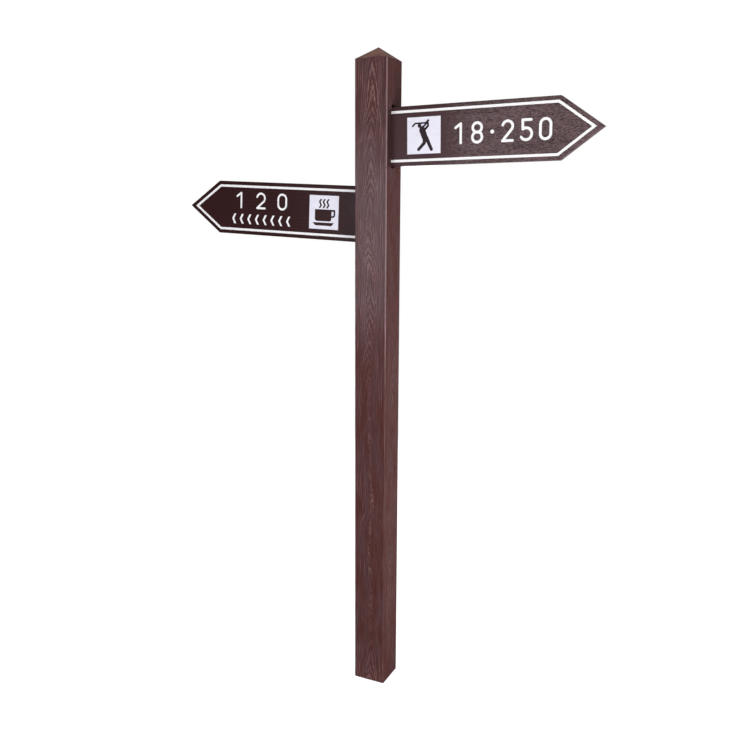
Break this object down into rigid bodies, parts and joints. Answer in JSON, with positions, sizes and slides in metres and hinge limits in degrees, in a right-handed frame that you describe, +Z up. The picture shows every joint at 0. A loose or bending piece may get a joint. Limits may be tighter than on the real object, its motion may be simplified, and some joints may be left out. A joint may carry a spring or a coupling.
{
  "type": "golf direction sign",
  "caption": "Direction sign for a golf course: a square imitation-wood post with a pyramid top, and arrow boards that slip into its sides and are clamped.",
  "frame": {"origin": "middle of the post's foot, where its axis meets the ground", "axes": "+Z up along the post, +X along the higher board, which points right in the picture, and the boards' faces look towards -Y"},
  "size_m": [1.2793, 0.1, 1.9],
  "materials": {
    "post_plastic": "dark red-brown imitation wood with pressed grain, lighter on the ridges",
    "cap_plastic": "smooth red-brown, a shade lighter than the post",
    "block_plastic": "black recycled plastic, as sawn",
    "galvanised_steel": "hot-dip galvanised",
    "stainless_steel": "plain stainless steel",
    "brass_insert": "turned brass",
    "right_board_plastic": "grey-brown with fine grain along the board",
    "left_board_plastic": "dark brown, smoother and glossier than the post",
    "white_inlay": "white inlay, slightly glossy",
    "plate_plastic": "white with a faint blue cast, slightly glossy"
  },
  "bodies": {
    "post": {"post_shell": "post_plastic", "post_cap": "cap_plastic", "core_tube": "galvanised_steel", "foot_block": "block_plastic", "middle_collar": "block_plastic", "upper_collar": "block_plastic", "left_mortise_block": "block_plastic", "right_mortise_block": "block_plastic", "anchor_boss": "galvanised_steel", "anchor_screw": "stainless_steel", "back_screws": "stainless_steel", "hole_plugs": "cap_plastic", "right_clamp_inserts": "brass_insert", "left_clamp_inserts": "brass_insert"},
    "right_arm": {"right_board": "right_board_plastic", "right_border_band": "white_inlay", "right_plate": "plate_plastic", "right_golfer": "right_board_plastic", "right_numerals": "white_inlay"},
    "left_arm": {"left_board": "left_board_plastic", "left_border_band": "white_inlay", "left_plate": "plate_plastic", "left_cup": "left_board_plastic", "left_numerals": "white_inlay", "left_chevrons": "white_inlay"},
    "right_clamp": {"right_clamp_screws": "stainless_steel", "right_pressure_plate": "stainless_steel"},
    "left_clamp": {"left_clamp_screws": "stainless_steel", "left_pressure_plate": "stainless_steel"}
  },
  "joints": [
    {"name": "right_board_slide", "type": "slide", "parent": "post", "child": "right_arm", "axis": [0.9999, 0, 0.0157], "range_m": [-0.0015, 0.09]},
    {"name": "left_board_slide", "type": "slide", "parent": "post", "child": "left_arm", "axis": [-0.9991, 0, 0.0419], "range_m": [-0.019, 0.07]},
    {"name": "right_clamp_slide", "type": "slide", "parent": "post", "child": "right_clamp", "axis": [0, 1, 0], "range_m": [0, 0.004]},
    {"name": "left_clamp_slide", "type": "slide", "parent": "post", "child": "left_clamp", "axis": [0, 1, 0], "range_m": [0, 0.004]}
  ]
}
